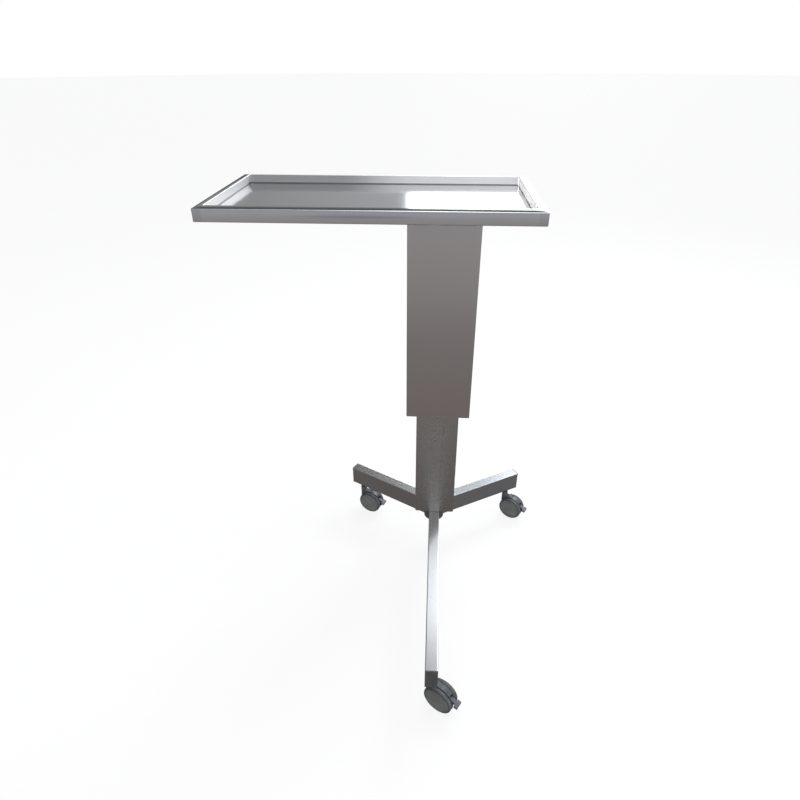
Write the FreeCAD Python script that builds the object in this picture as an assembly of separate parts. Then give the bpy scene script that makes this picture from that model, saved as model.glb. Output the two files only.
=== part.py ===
import FreeCAD, Part
import os
import math

# Height adjustable instrument cart, in millimetres.
# +Z is up and the floor is Z = 0. The long front leg points towards -Y, the tray runs
# along X and left is -X. The pieces are laid out with the column axis at X = Y = 0;
# save_piece then moves them so that the origin is the middle of the cart's outline
# seen from above.

os.makedirs("parts", exist_ok=True)
V = FreeCAD.Vector

SHIFT_X, SHIFT_Y = 105.47, 203.03
OVER = 1.0                         # cutting tools run past a face by this
TOLERANCE = 1e-6                   # for picking edges

# tray: one folded sheet
TRAY_W, TRAY_D = 730.0, 384.0      # outside, over the apron
TRAY_X = -159.0                    # tray centre
TRAY_T = 1.2                       # sheet
TRAY_CORNER_R = 1.6                # outer corners
PAN_R = 2.0                        # pan's inside corners and floor edge
PAN_DEPTH = 21.0                   # inner edge of the rim to the floor
PAN_TOOL_H = 40.0                  # height of the solids that shape the pan
RIM_Z = 1083.0                     # outer edge of the rim
RIM_W = 19.5                       # sloping rim, outer edge to inner edge
RIM_RISE = 3.3                     # inner edge stands above the outer edge
RIM_CAVITY_RUN = 20.0              # how far the hollow under the rim reaches inwards
APRON_H = 27.5                     # rim's outer edge to the apron's lower edge
APRON_LIP = 9.0                    # hem turned in along the apron's lower edge

# square rails under the pan
RAIL, RAIL_T = 25.0, 1.5
RAIL_X0, RAIL_X1 = -485.0, 160.0
RAIL_Y = 96.0

# sleeve and its top plate
SLEEVE_W, SLEEVE_D, SLEEVE_T = 168.0, 168.0, 2.0
SLEEVE_Z0 = 521.0
SLEEVE_R = 4.0
PLATE_W, PLATE_D, PLATE_T = SLEEVE_W, 218.0, 5.0
PLATE_R = 6.0

# bolts through the top plate and rails
MOUNT_SPOTS = [(x, y) for x in (-70.0, 70.0) for y in (-RAIL_Y, RAIL_Y)]
BOLT_R, BOLT_HOLE_R = 3.0, 3.2
BOLT_ACROSS, BOLT_HEAD_H, BOLT_NUT_H = 10.0, 4.0, 5.0
BOLT_REACH = 7.0                   # bolt end above the rail's lower wall

# legs and the upright hub tube that joins them
LEG_W, LEG_H, LEG_T = 30.0, 60.0, 2.0
LEG_R = 2.4                        # rounding of the long edges
LEG_Z0 = 103.0
LEG_Z1 = LEG_Z0 + LEG_H
LEG_FRONT, LEG_REAR = 585.0, 309.0     # column axis to leg end
# leg: direction in degrees, length, leg end to caster stem, caster swivel in degrees
LEGS = {
    "front": (-90.0, LEG_FRONT, 38.0, -32.0),
    "rear_left": (150.0, LEG_REAR, 33.0, -23.0),
    "rear_right": (30.0, LEG_REAR, 33.0, -31.0),
}
HUB_R, HUB_T = 30.0, 4.0
HUB_DROP = 1.0                     # hub's lower end below the legs
CAP_T, CAP_R = 2.5, 1.1            # flange of a leg's end plug, and its rounding
PLUG_DEPTH, PLUG_T = 14.0, 2.0     # plug inside the tube
WELD_NUT_R, WELD_NUT_H = 10.0, 16.0

# inner column, base plate and guides
COL_W, COL_D, COL_T = 115.0, 115.0, 2.5
COL_R = 4.0
BASE_Z0 = LEG_Z1
BASE_T = 3.0
BASE_IN = 1.5                      # plate edge stands back from the column's faces
COL_Z0, COL_Z1 = BASE_Z0 + BASE_T, 724.0
COL_FLOOR = 8.0                    # thick bottom of the column
COL_FLOOR_HOLE_R = 20.0
BASE_SPOTS = [(-38.0, -38.0), (38.0, -38.0), (-30.0, 46.0), (30.0, 46.0)]  # clear of the legs
BASE_HEAD_R, BASE_HEAD_H = 5.2, 4.2
BASE_SOCKET_ACROSS = 5.0
BASE_SOCKET_ROOF = 1.6             # metal left above the socket
BASE_BOLT_REACH = 15.0
GUIDE_CLEAR = 0.1                  # each side, plastic guides on steel
COLLAR_Z0, COLLAR_Z1 = SLEEVE_Z0 + 2, SLEEVE_Z0 + 44
BLOCK_H, BLOCK_RISE = 40.0, 3.0    # guide block below and above the column's top
BLOCK_OPENING_IN, BLOCK_OPENING_R = 6.0, 3.0   # opening inside the column's outline

# gas spring
CYL_R, CYL_BORE_R = 14.0, 12.0
CYL_Z0, CYL_Z1 = 172.0, 645.0
CYL_BOTTOM = 10.0                  # solid lower end
SEAL_LIP, SEAL_PLUG = 10.0, 12.0   # seal cap outside and inside the tube
ROD_R = 5.0
ROD_Z0, ROD_Z1 = 485.0, 1046.4
PISTON_R, PISTON_H = 11.95, 14.0
FOOT_R, FOOT_T, FOOT_NECK_R = 18.0, 10.0, 10.0
LOCK_NUT_ACROSS, LOCK_NUT_H = 17.0, 6.0
PIN_R, PIN_TIP_R, PIN_TIP_H = 2.0, 1.2, 0.8
PIN_Z0, PIN_Z1 = ROD_Z1 - 18, ROD_Z1 + 4
PIN_BORE_DEPTH = 24.0

PAN_FLOOR_Z = RIM_Z + RIM_RISE - PAN_DEPTH      # top of the pan's floor
PAN_UNDER = PAN_FLOOR_Z - TRAY_T
PLATE_Z1 = PAN_UNDER - RAIL
PLATE_Z0 = PLATE_Z1 - PLATE_T

# release lever
LEVER_T, LEVER_HALF_W = 5.0, 7.0
LEVER_X = 24.0                     # pivot
LEVER_Z = PIN_Z1 + 0.3 + LEVER_T / 2   # middle of the bar, just above the pin
LEVER_DROP = 19.5                  # handle end below the pivot end
LEVER_END = 188.0
LEVER_BOSS_R = 5.5
PIVOT_R, PIVOT_HALF = 2.5, 12.5
HANDLE_LOW = LEVER_Z - LEVER_DROP - LEVER_T / 2
HANDLE_HIGH = HANDLE_LOW + LEVER_T
GRIP_X, GRIP_L, GRIP_W, GRIP_H, GRIP_R = 158.0, 68.0, 24.0, 12.0, 5.0
BRACKET_HALF_L, BRACKET_HALF_W, BRACKET_RISE = 9.0, 11.0, 6.0
BRACKET_SLOT_HALF, BRACKET_T = 7.6, 2.5

# casters, local frame: stem on the Z axis, wheels trailing towards +X, axle along Y
WHEEL_R = 37.5
AXLE_X, AXLE_Z = 29.0, WHEEL_R
AXLE_R = 4.0
CASTER_HALF = 19.5                 # middle to outer face
AXLE_HALF = CASTER_HALF - 3.0
WHEEL_IN = 7.8                     # inner face of each wheel
TYRE_SEAT_R = 32.5
HOOD_HALF = 7.2
HOOD_TOP = 91.5
HOOD_NECK_R, HOOD_BOSS_R = 9.2, 11.5
PEDAL_X, PEDAL_Z = AXLE_X + 27.5, AXLE_Z + 13.0    # pedal pivot
PEDAL_PIN_R = 1.5
PEDAL_HALF, PEDAL_POCKET_HALF, TREAD_HALF = 4.8, 5.2, 10.0
PEDAL_HUB_R, TREAD_EDGE_R = 5.2, 1.2
STEM_R, STEM_COLLAR_R = 5.0, 8.2
STEM_Z0, STEM_REACH = 57.0, 24.0   # lower end; upper end above the leg's underside
FAR = 60.0                         # reach of the tools that trim the hood


# --- helpers ---------------------------------------------------------------

def save_piece(name, shape):
    """Move a solid, or a group of equal solids, to the cart's frame and write it."""
    piece = shape.copy()
    piece.translate(V(SHIFT_X, SHIFT_Y, 0))
    piece.exportStep("parts/" + name + ".step")


def box(x0, y0, z0, x1, y1, z1):
    return Part.makeBox(x1 - x0, y1 - y0, z1 - z0, V(x0, y0, z0))


def centred_box(width, depth, z0, z1, x=0.0):
    return Part.makeBox(width, depth, z1 - z0, V(x - width / 2, -depth / 2, z0))


def rounded_box(width, depth, z0, z1, radius, x=0.0):
    """Centred box with rounded vertical edges."""
    body = centred_box(width, depth, z0, z1, x)
    return body.makeFillet(radius, [e for e in body.Edges if is_vertical(e)])


def cylinder(radius, z0, z1, x=0.0, y=0.0):
    return Part.makeCylinder(radius, z1 - z0, V(x, y, z0), V(0, 0, 1))


def cylinder_y(radius, y0, y1, x, z):
    return Part.makeCylinder(radius, y1 - y0, V(x, y0, z), V(0, 1, 0))


def drill(shape, radius, z0, z1, spots=((0.0, 0.0),)):
    """Cut upright through holes at the (x, y) spots."""
    for x, y in spots:
        shape = shape.cut(cylinder(radius, z0 - OVER, z1 + OVER, x, y))
    return shape


def polygon_face(points):
    return Part.Face(Part.makePolygon(points + [points[0]]))


def prism_xz(points, half_width):
    """Polygon of (x, z), swept to half_width on each side of Y = 0."""
    face = polygon_face([V(x, -half_width, z) for x, z in points])
    return face.extrude(V(0, 2 * half_width, 0))


def hex_prism(across, z0, z1, x=0.0, y=0.0):
    radius = across / math.sqrt(3)
    angles = [math.radians(60 * i) for i in range(6)]
    points = [V(x + radius * math.cos(a), y + radius * math.sin(a), z0) for a in angles]
    return polygon_face(points).extrude(V(0, 0, z1 - z0))


def turned(shape, angle, x=0.0, y=0.0):
    copy = shape.copy()
    copy.rotate(V(0, 0, 0), V(0, 0, 1), angle)
    copy.translate(V(x, y, 0))
    return copy


def is_vertical(edge):
    start, end = edge.Vertexes[0], edge.Vertexes[1]
    return abs(start.X - end.X) < TOLERANCE and abs(start.Y - end.Y) < TOLERANCE


def is_along_x(edge):
    start, end = edge.Vertexes[0], edge.Vertexes[1]
    return abs(start.Y - end.Y) < TOLERANCE and abs(start.Z - end.Z) < TOLERANCE


def is_at_height(edge, z):
    return all(abs(edge.Vertexes[i].Z - z) < TOLERANCE for i in (0, 1))


# --- tray ------------------------------------------------------------------

def tray_wire(width, depth, z):
    corners = [(-1, -1), (1, -1), (1, 1), (-1, 1)]
    points = [V(TRAY_X + i * width / 2, j * depth / 2, z) for i, j in corners]
    return Part.makePolygon(points + [points[0]])


def tray_frustum(width0, depth0, z0, width1, depth1, z1):
    wires = [tray_wire(width0, depth0, z0), tray_wire(width1, depth1, z1)]
    return Part.makeLoft(wires, True, True)


def pan_solid(width, depth, z0, radius):
    """Box with rounded vertical and bottom edges."""
    body = centred_box(width, depth, z0, z0 + PAN_TOOL_H, TRAY_X)
    edges = [e for e in body.Edges if is_vertical(e) or is_at_height(e, z0)]
    return body.makeFillet(radius, edges)


def tray_pan():
    pan_w, pan_d = TRAY_W - 2 * RIM_W, TRAY_D - 2 * RIM_W
    apron_z0 = RIM_Z - APRON_H
    outer = centred_box(TRAY_W, TRAY_D, apron_z0, RIM_Z, TRAY_X)
    rim = tray_frustum(TRAY_W, TRAY_D, RIM_Z, pan_w, pan_d, RIM_Z + RIM_RISE)
    outer = outer.fuse(rim).removeSplitter()
    outer = outer.makeFillet(TRAY_CORNER_R, [e for e in outer.Edges if is_vertical(e)])

    hollow = pan_solid(pan_w, pan_d, PAN_FLOOR_Z, PAN_R)
    pan = pan_solid(pan_w + 2 * TRAY_T, pan_d + 2 * TRAY_T, PAN_UNDER, PAN_R + TRAY_T)

    # the space below the sheet: apron, sloping rim and opening inside the hem
    slope = RIM_RISE / RIM_W
    cavity_w, cavity_d = TRAY_W - 2 * TRAY_T, TRAY_D - 2 * TRAY_T
    cavity_z = RIM_Z - TRAY_T * math.sqrt(1 + slope ** 2) + TRAY_T * slope
    cavity = centred_box(cavity_w, cavity_d, apron_z0 + TRAY_T, cavity_z, TRAY_X)
    cavity = cavity.fuse(tray_frustum(
        cavity_w, cavity_d, cavity_z,
        cavity_w - 2 * RIM_CAVITY_RUN, cavity_d - 2 * RIM_CAVITY_RUN,
        cavity_z + RIM_CAVITY_RUN * slope))
    cavity = cavity.fuse(centred_box(TRAY_W - 2 * APRON_LIP, TRAY_D - 2 * APRON_LIP,
                                     apron_z0 - OVER, apron_z0 + TRAY_T + OVER, TRAY_X))
    cavity = cavity.cut(pan)
    return outer.cut(hollow).cut(cavity)


def tray_rail(y):
    half, half_bore = RAIL / 2, RAIL / 2 - RAIL_T
    rail = box(RAIL_X0, y - half, PLATE_Z1, RAIL_X1, y + half, PAN_UNDER)
    rail = rail.cut(box(RAIL_X0 - OVER, y - half_bore, PLATE_Z1 + RAIL_T,
                        RAIL_X1 + OVER, y + half_bore, PAN_UNDER - RAIL_T))
    spots = [spot for spot in MOUNT_SPOTS if spot[1] == y]
    return drill(rail, BOLT_HOLE_R, PLATE_Z1, PLATE_Z1 + RAIL_T, spots)


# --- sleeve, top plate and fixings -----------------------------------------

def column_sleeve():
    sleeve = rounded_box(SLEEVE_W, SLEEVE_D, SLEEVE_Z0, PLATE_Z0, SLEEVE_R)
    return sleeve.cut(rounded_box(SLEEVE_W - 2 * SLEEVE_T, SLEEVE_D - 2 * SLEEVE_T,
                                  SLEEVE_Z0 - OVER, PLATE_Z0 + OVER, SLEEVE_R - SLEEVE_T))


def sleeve_top_plate():
    plate = rounded_box(PLATE_W, PLATE_D, PLATE_Z0, PLATE_Z1, PLATE_R)
    plate = drill(plate, ROD_R + 0.25, PLATE_Z0, PLATE_Z1)
    return drill(plate, BOLT_HOLE_R, PLATE_Z0, PLATE_Z1, MOUNT_SPOTS)


def tray_mount_bolt(x, y):
    head = hex_prism(BOLT_ACROSS, PLATE_Z0 - BOLT_HEAD_H, PLATE_Z0, x, y)
    shank = cylinder(BOLT_R, PLATE_Z0, PLATE_Z1 + RAIL_T + BOLT_REACH, x, y)
    return head.fuse(shank).removeSplitter()


def tray_mount_nut(x, y):
    z0 = PLATE_Z1 + RAIL_T
    z1 = z0 + BOLT_NUT_H
    return drill(hex_prism(BOLT_ACROSS, z0, z1, x, y), BOLT_R, z0, z1, [(x, y)])


def lower_guide_collar():
    collar = rounded_box(SLEEVE_W - 2 * SLEEVE_T, SLEEVE_D - 2 * SLEEVE_T,
                         COLLAR_Z0, COLLAR_Z1, SLEEVE_R - SLEEVE_T)
    return collar.cut(rounded_box(COL_W + 2 * GUIDE_CLEAR, COL_D + 2 * GUIDE_CLEAR,
                                  COLLAR_Z0 - OVER, COLLAR_Z1 + OVER, COL_R + GUIDE_CLEAR))


# --- inner column ----------------------------------------------------------

def inner_column():
    floor_top = COL_Z0 + COL_FLOOR
    column = rounded_box(COL_W, COL_D, COL_Z0, COL_Z1, COL_R)
    column = column.cut(rounded_box(COL_W - 2 * COL_T, COL_D - 2 * COL_T,
                                    floor_top, COL_Z1 + OVER, COL_R - COL_T))
    column = drill(column, COL_FLOOR_HOLE_R, COL_Z0, floor_top)
    return drill(column, BOLT_R, COL_Z0, floor_top, BASE_SPOTS)


def column_base_plate():
    plate = rounded_box(COL_W - 2 * BASE_IN, COL_D - 2 * BASE_IN, BASE_Z0, COL_Z0,
                        COL_R - BASE_IN)
    plate = drill(plate, FOOT_NECK_R, BASE_Z0, COL_Z0)
    return drill(plate, BOLT_HOLE_R, BASE_Z0, COL_Z0, BASE_SPOTS)


def base_plate_bolt(x, y):
    head_z0 = BASE_Z0 - BASE_HEAD_H
    socket = hex_prism(BASE_SOCKET_ACROSS, head_z0 - 0.1, BASE_Z0 - BASE_SOCKET_ROOF, x, y)
    head = cylinder(BASE_HEAD_R, head_z0, BASE_Z0, x, y).cut(socket)
    shank = cylinder(BOLT_R, BASE_Z0, BASE_Z0 + BASE_BOLT_REACH, x, y)
    return head.fuse(shank).removeSplitter()


def upper_guide_block():
    """Block around the column's top, with a ledge over the column's end."""
    z0 = COL_Z1 - BLOCK_H
    inset = 2 * SLEEVE_T + 2 * GUIDE_CLEAR
    block = rounded_box(SLEEVE_W - inset, SLEEVE_D - inset, z0, COL_Z1 + BLOCK_RISE,
                        SLEEVE_R - SLEEVE_T)
    block = block.cut(rounded_box(COL_W, COL_D, z0 - OVER, COL_Z1, COL_R))
    return block.cut(rounded_box(COL_W - 2 * BLOCK_OPENING_IN, COL_D - 2 * BLOCK_OPENING_IN,
                                 z0, COL_Z1 + BLOCK_RISE + 2, BLOCK_OPENING_R))


# --- lockable gas spring inside the column ---------------------------------

def gas_spring_foot():
    flange = cylinder(FOOT_R, BASE_Z0 - FOOT_T, BASE_Z0)
    return flange.fuse(cylinder(FOOT_NECK_R, BASE_Z0, CYL_Z0)).removeSplitter()


def gas_spring_cylinder():
    tube = cylinder(CYL_R, CYL_Z0, CYL_Z1 - SEAL_LIP)
    return tube.cut(cylinder(CYL_BORE_R, CYL_Z0 + CYL_BOTTOM, CYL_Z1))


def gas_spring_seal_cap():
    lip_z0 = CYL_Z1 - SEAL_LIP
    cap = cylinder(CYL_R, lip_z0, CYL_Z1)
    cap = cap.fuse(cylinder(CYL_BORE_R, lip_z0 - SEAL_PLUG, lip_z0)).removeSplitter()
    return drill(cap, ROD_R + 0.05, lip_z0 - SEAL_PLUG, CYL_Z1)


def gas_spring_rod():
    piston_z1 = ROD_Z0 + PISTON_H
    rod = cylinder(ROD_R, piston_z1, ROD_Z1)
    rod = rod.fuse(cylinder(PISTON_R, ROD_Z0, piston_z1)).removeSplitter()
    return rod.cut(cylinder(PIN_R + 0.05, ROD_Z1 - PIN_BORE_DEPTH, ROD_Z1 + OVER))


def rod_lock_nut(z0):
    z1 = z0 + LOCK_NUT_H
    return drill(hex_prism(LOCK_NUT_ACROSS, z0, z1), ROD_R, z0, z1)


def release_pin():
    tip_z0 = PIN_Z1 - PIN_TIP_H
    tip = Part.makeCone(PIN_R, PIN_TIP_R, PIN_TIP_H, V(0, 0, tip_z0))
    return cylinder(PIN_R, PIN_Z0, tip_z0).fuse(tip).removeSplitter()


# --- height release lever under the tray -----------------------------------

def pivot_cylinder(radius, half_length):
    return cylinder_y(radius, -half_length, half_length, LEVER_X, LEVER_Z)


def release_lever():
    low, high = LEVER_Z - LEVER_T / 2, LEVER_Z + LEVER_T / 2
    outline = [(-7, low), (92, low), (116, HANDLE_LOW), (LEVER_END, HANDLE_LOW),
               (LEVER_END, HANDLE_HIGH), (118, HANDLE_HIGH), (94, high), (-7, high)]
    bar = prism_xz(outline, LEVER_HALF_W)
    bar = bar.fuse(pivot_cylinder(LEVER_BOSS_R, LEVER_HALF_W)).removeSplitter()
    return bar.cut(pivot_cylinder(PIVOT_R + 0.05, LEVER_HALF_W + OVER))


def lever_grip():
    middle_z = LEVER_Z - LEVER_DROP
    grip = rounded_box(GRIP_L, GRIP_W, middle_z - GRIP_H / 2, middle_z + GRIP_H / 2,
                       GRIP_R, x=GRIP_X)
    return grip.cut(box(GRIP_X - GRIP_L / 2 - 4, -LEVER_HALF_W, HANDLE_LOW,
                        LEVER_END, LEVER_HALF_W, HANDLE_HIGH))


def lever_bracket():
    """U-shaped bracket on the top plate, open upwards."""
    top = LEVER_Z + BRACKET_RISE
    half_slot_l = BRACKET_HALF_L + OVER
    bracket = box(LEVER_X - BRACKET_HALF_L, -BRACKET_HALF_W, PLATE_Z1,
                  LEVER_X + BRACKET_HALF_L, BRACKET_HALF_W, top)
    bracket = bracket.cut(box(
        LEVER_X - half_slot_l, -BRACKET_SLOT_HALF, PLATE_Z1 + BRACKET_T,
        LEVER_X + half_slot_l, BRACKET_SLOT_HALF, top + OVER))
    return bracket.cut(pivot_cylinder(PIVOT_R, BRACKET_HALF_W + OVER))


# --- hub and legs; each leg is built along +X, then turned -----------------

def leg_hub():
    z0 = LEG_Z0 - HUB_DROP
    return drill(cylinder(HUB_R, z0, LEG_Z1), HUB_R - HUB_T, z0, LEG_Z1)


def leg_section(x0, x1, inset=0.0):
    """Length of the leg's rectangular section, inset on its four sides."""
    half = LEG_W / 2 - inset
    return box(x0, -half, LEG_Z0 + inset, x1, half, LEG_Z1 - inset)


def leg_tube(length, stem_x):
    tube_end = length - CAP_T
    tube = leg_section(0.0, tube_end)
    tube = tube.makeFillet(LEG_R, [e for e in tube.Edges if is_along_x(e)])
    tube = tube.cut(leg_section(-OVER, tube_end + OVER, LEG_T))
    tube = drill(tube, STEM_R + 0.2, LEG_Z0, LEG_Z0 + LEG_T, [(stem_x, 0.0)])
    # coped onto the hub
    return drill(tube, HUB_R, LEG_Z0, LEG_Z1)


def leg_plug(length):
    tube_end = length - CAP_T
    cap = leg_section(tube_end, length)
    edges = [e for e in cap.Edges
             if abs(e.BoundBox.XMin - length) < TOLERANCE or is_along_x(e)]
    cap = cap.makeFillet(CAP_R, edges)
    plug = leg_section(tube_end - PLUG_DEPTH, tube_end, LEG_T)
    plug = plug.cut(leg_section(tube_end - PLUG_DEPTH - OVER, tube_end - 1,
                                LEG_T + PLUG_T))
    return cap.fuse(plug).removeSplitter()


def caster_weld_nut(x, y):
    z0 = LEG_Z0 + LEG_T
    z1 = z0 + WELD_NUT_H
    return drill(cylinder(WELD_NUT_R, z0, z1, x, y), STEM_R, z0, z1, [(x, y)])


# --- twin wheel casters with a foot brake ----------------------------------

def axle_cylinder(radius, y0, y1):
    return cylinder_y(radius, y0, y1, AXLE_X, AXLE_Z)


def pedal_cylinder(radius, half_length):
    return cylinder_y(radius, -half_length, half_length, PEDAL_X, PEDAL_Z)


def prism_at_axle(offsets, half_width):
    """Prism whose (x, z) points are measured from the axle."""
    return prism_xz([(AXLE_X + x, AXLE_Z + z) for x, z in offsets], half_width)


def caster_hood():
    half = HOOD_HALF
    disc = axle_cylinder(WHEEL_R + 0.8, -half, half)
    # only the upper part of the disc, down to a line that falls towards the brake
    disc = disc.common(prism_xz([(AXLE_X - FAR, AXLE_Z - 4), (AXLE_X + FAR, AXLE_Z - 14),
                                 (AXLE_X + FAR, 120), (AXLE_X - FAR, 120)], 40))
    web = prism_xz([(-5.7, AXLE_Z + 12), (4, AXLE_Z + 2), (AXLE_X, AXLE_Z),
                    (AXLE_X + 8, AXLE_Z + WHEEL_R - 1), (8.0, 78), (5.7, HOOD_TOP),
                    (-5.7, HOOD_TOP)], half)
    hood = disc.fuse(web).fuse(axle_cylinder(HOOD_BOSS_R, -half, half))
    # neck around the stem, cut back to clear the wheels
    clear_r = WHEEL_R + 1.2
    wheels = axle_cylinder(clear_r, half, FAR).fuse(axle_cylinder(clear_r, -FAR, -half))
    neck = cylinder(HOOD_NECK_R, 52, HOOD_TOP).cut(wheels)
    hood = hood.fuse(neck).removeSplitter()
    # pocket for the pedal
    hood = hood.cut(prism_at_axle([(17.5, -40), (60, -40), (60, 30), (32, 30), (17.5, 18)],
                                  PEDAL_POCKET_HALF))
    hood = hood.cut(pedal_cylinder(PEDAL_PIN_R, 20))
    hood = hood.cut(axle_cylinder(AXLE_R, -20, 20))
    return hood.cut(cylinder(STEM_R + 0.05, STEM_Z0 - 2, HOOD_TOP + OVER))


def revolved_at_axle(profile):
    """Profile of (radius, y) turned about the axle."""
    face = polygon_face([V(AXLE_X + radius, y, AXLE_Z) for radius, y in profile])
    return face.revolve(V(AXLE_X, 0, AXLE_Z), V(0, 1, 0), 360)


def wheel_core():
    inner, outer = WHEEL_IN, CASTER_HALF
    bore_r = AXLE_R + 0.06
    return revolved_at_axle([
        (bore_r, inner), (8.5, inner), (8.5, outer - 3.4), (29.0, outer - 3.4),
        (29.0, inner + 0.4), (TYRE_SEAT_R, inner + 0.4), (TYRE_SEAT_R, outer - 0.6),
        (30.6, outer - 0.6), (30.2, outer - 1.3), (29.4, outer - 1.3), (28.8, outer - 0.5),
        (20.0, outer + 0.05), (10.0, outer + 0.35), (0.0, outer + 0.45),
        (0.0, outer - 2.2), (bore_r, outer - 2.2)])


def wheel_tyre():
    inner, outer = WHEEL_IN, CASTER_HALF
    return revolved_at_axle([
        (TYRE_SEAT_R, inner + 0.4), (WHEEL_R - 1.2, inner + 0.4),
        (WHEEL_R - 0.3, inner + 1.1), (WHEEL_R, inner + 2.2), (WHEEL_R, outer - 4.2),
        (WHEEL_R - 0.35, outer - 2.8), (WHEEL_R - 1.2, outer - 1.6),
        (WHEEL_R - 2.6, outer - 0.8), (TYRE_SEAT_R, outer - 0.5)])


def mirrored_y(shape):
    return shape.mirror(V(0, 0, 0), V(0, 1, 0))


def brake_pedal():
    hub = pedal_cylinder(PEDAL_HUB_R, PEDAL_HALF)
    # arm from the hub out to the tread plate
    arm = prism_xz([(PEDAL_X - 3, PEDAL_Z - 5.0), (PEDAL_X + 3, PEDAL_Z - 5.5),
                    (AXLE_X + 43, AXLE_Z + 3.5), (AXLE_X + 43, AXLE_Z + 11.0),
                    (PEDAL_X + 2, PEDAL_Z + 5.2), (PEDAL_X - 3, PEDAL_Z + 4.0)], PEDAL_HALF)
    tread = prism_at_axle([(41.0, 3.0), (50.5, 1.5), (51.5, 8.0), (41.5, 11.5)], TREAD_HALF)
    edges = [e for e in tread.Edges if abs(e.BoundBox.YMin - e.BoundBox.YMax) > 10]
    tread = tread.makeFillet(TREAD_EDGE_R, edges)
    pedal = hub.fuse(arm).fuse(tread).removeSplitter()
    return pedal.cut(pedal_cylinder(PEDAL_PIN_R + 0.05, 20))


def caster_stem():
    stem = cylinder(STEM_R, STEM_Z0, LEG_Z0 + STEM_REACH)
    return stem.fuse(cylinder(STEM_COLLAR_R, HOOD_TOP + 0.4, LEG_Z0)).removeSplitter()


def caster_pieces():
    """Pieces in the caster's frame; the left wheel is on the +Y side."""
    core, tyre = wheel_core(), wheel_tyre()
    return {
        "stem": caster_stem(),
        "hood": caster_hood(),
        "axle": axle_cylinder(AXLE_R, -AXLE_HALF, AXLE_HALF),
        "wheel_left": core,
        "tyre_left": tyre,
        "wheel_right": mirrored_y(core),
        "tyre_right": mirrored_y(tyre),
        "brake_pedal": brake_pedal(),
        "pedal_pin": pedal_cylinder(PEDAL_PIN_R, HOOD_HALF),
    }


# --- build -----------------------------------------------------------------

def save_group(name, make, spots):
    save_piece(name, Part.makeCompound([make(*spot) for spot in spots]))


for make in (tray_pan, column_sleeve, sleeve_top_plate, lower_guide_collar, inner_column,
             column_base_plate, upper_guide_block, gas_spring_foot, gas_spring_cylinder,
             gas_spring_seal_cap, gas_spring_rod, release_pin, release_lever, lever_grip,
             lever_bracket, leg_hub):
    save_piece(make.__name__, make())

save_piece("tray_rail_front", tray_rail(-RAIL_Y))
save_piece("tray_rail_rear", tray_rail(RAIL_Y))
save_piece("lever_pivot_pin", pivot_cylinder(PIVOT_R, PIVOT_HALF))
save_group("tray_mount_bolts", tray_mount_bolt, MOUNT_SPOTS)
save_group("tray_mount_nuts", tray_mount_nut, MOUNT_SPOTS)
save_group("base_plate_bolts", base_plate_bolt, BASE_SPOTS)
save_group("rod_lock_nuts", rod_lock_nut, [(PLATE_Z0 - LOCK_NUT_H,), (PLATE_Z1,)])

caster = caster_pieces()
stem_spots = []
for leg, (angle, length, stem_inset, swivel) in LEGS.items():
    stem_x = length - stem_inset
    save_piece("leg_" + leg, turned(leg_tube(length, stem_x), angle))
    save_piece("leg_plug_" + leg, turned(leg_plug(length), angle))
    direction = math.radians(angle)
    spot = (stem_x * math.cos(direction), stem_x * math.sin(direction))
    stem_spots.append(spot)
    for name, shape in caster.items():
        save_piece("caster_" + leg + "_" + name, turned(shape, swivel, *spot))
save_group("caster_weld_nuts", caster_weld_nut, stem_spots)
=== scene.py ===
"""A tray cart: a steel tray on a telescoping column with a gas spring and a release lever,
standing on a three-legged base with twin-wheel casters.

Metres, Z up, floor at z = 0. The front of the cart faces -Y and its left is -X.
CAD pieces that are kept get edge radii and a material; the tray, the wheels, the caster
hoods and the brake pedals are rebuilt.
"""
import bpy
import bmesh
import math
from mathutils import Matrix, Vector


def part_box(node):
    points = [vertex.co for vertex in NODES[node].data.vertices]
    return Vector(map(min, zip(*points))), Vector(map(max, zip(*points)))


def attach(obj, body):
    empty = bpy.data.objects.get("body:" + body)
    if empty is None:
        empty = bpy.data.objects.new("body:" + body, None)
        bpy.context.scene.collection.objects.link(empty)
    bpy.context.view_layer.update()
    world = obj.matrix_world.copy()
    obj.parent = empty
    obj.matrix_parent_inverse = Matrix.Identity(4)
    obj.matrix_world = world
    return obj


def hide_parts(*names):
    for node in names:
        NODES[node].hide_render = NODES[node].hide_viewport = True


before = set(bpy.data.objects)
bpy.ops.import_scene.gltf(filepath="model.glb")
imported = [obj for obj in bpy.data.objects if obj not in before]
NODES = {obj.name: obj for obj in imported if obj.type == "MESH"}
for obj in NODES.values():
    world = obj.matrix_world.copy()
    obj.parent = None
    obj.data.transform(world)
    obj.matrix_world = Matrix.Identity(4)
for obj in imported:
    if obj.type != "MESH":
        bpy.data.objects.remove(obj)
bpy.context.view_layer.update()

MM = 0.001
scene = bpy.context.scene
PLACES = ("front", "rear_left", "rear_right")      # of the legs and their casters

# Tray, from the CAD box (metres)
tray_low, tray_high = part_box("tray_pan")
TRAY_X = (tray_low.x + tray_high.x) / 2
TRAY_Y = (tray_low.y + tray_high.y) / 2
TRAY_HALF_X = (tray_high.x - tray_low.x) / 2
TRAY_HALF_Y = (tray_high.y - tray_low.y) / 2

# Tray sheet (mm)
RIM_WIDTH = 19.5
RIM_RISE = 3.3              # the rim climbs this much towards the pan
PAN_DEPTH = 21.0
HEM_WIDTH = 9.0             # folded in under the rim
SHEET = 1.2
Z_TOP = tray_high.z / MM
Z_HEM = tray_low.z / MM
Z_RIM = Z_TOP - RIM_RISE
Z_FLOOR = Z_TOP - PAN_DEPTH

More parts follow.
